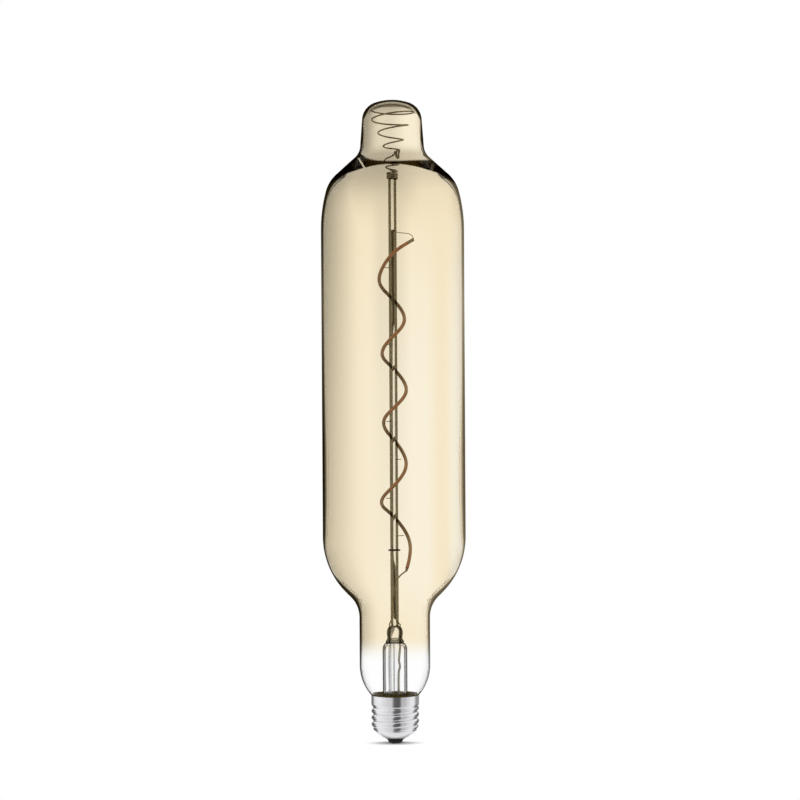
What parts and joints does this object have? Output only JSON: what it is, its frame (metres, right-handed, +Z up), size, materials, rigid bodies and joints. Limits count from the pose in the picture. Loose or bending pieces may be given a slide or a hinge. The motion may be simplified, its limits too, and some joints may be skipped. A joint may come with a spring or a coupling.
{
  "type": "filament bulb",
  "caption": "Tall tubular amber-tinted lamp with a soft spiral filament on a glass rod, a coil spring under its domed tip and a screw cap",
  "frame": {"origin": "middle of the centre contact's flat lower face", "axes": "+Z up along the lamp's axis from the contact to the glass tip; the pictured side faces -Y, with +X to its right"},
  "size_m": [0.0776, 0.0776, 0.35],
  "materials": {
    "amber_glass": "blown glass with a thin amber coating that fades out on the neck",
    "clear_glass": "clear drawn glass",
    "seal_wire": "copper-clad seal wire, oxidised red-brown",
    "tinned_wire": "tinned copper wire",
    "lead_wire": "dull nickel wire and strip",
    "phosphor_silicone": "silicone filled with phosphor, brown-orange and satin",
    "flexible_strip": "thin flexible circuit strip",
    "chip_crystal": "light-emitting chips, unlit",
    "spring_wire": "dark drawn spring wire",
    "nickel_plate": "nickel-plated pressed brass, bright",
    "black_glass": "black moulded glass insulator, glossy",
    "cement": "dark basing cement, rough",
    "circuit_board": "green solder resist on glass-fibre board",
    "black_moulding": "black moulded component body",
    "capacitor_sleeve": "dark blue shrink sleeve",
    "resistor_ceramic": "dark glaze on a ceramic chip",
    "wire_insulation": "red wire insulation"
  },
  "bodies": {
    "root": {"envelope": "amber_glass", "stem_flare": "clear_glass", "stem_pinch": "clear_glass", "exhaust_tube": "clear_glass", "support_rod": "clear_glass", "seal_wires": "seal_wire", "outer_leads": "tinned_wire", "rear_lead": "lead_wire", "front_lead": "lead_wire", "lead_tie": "lead_wire", "filament_holders": "lead_wire", "filament_coating": "phosphor_silicone", "filament_strip": "flexible_strip", "led_chips": "chip_crystal", "upper_tab": "lead_wire", "lower_tab": "lead_wire", "top_spring": "spring_wire", "screw_shell": "nickel_plate", "insulator": "black_glass", "centre_contact": "nickel_plate", "cap_cement": "cement", "driver_board": "circuit_board", "bridge_rectifier": "black_moulding", "driver_chip": "black_moulding", "smoothing_capacitor": "capacitor_sleeve", "chip_resistors": "resistor_ceramic", "live_wire": "wire_insulation", "neutral_wire": "tinned_wire"}
  },
  "joints": []
}
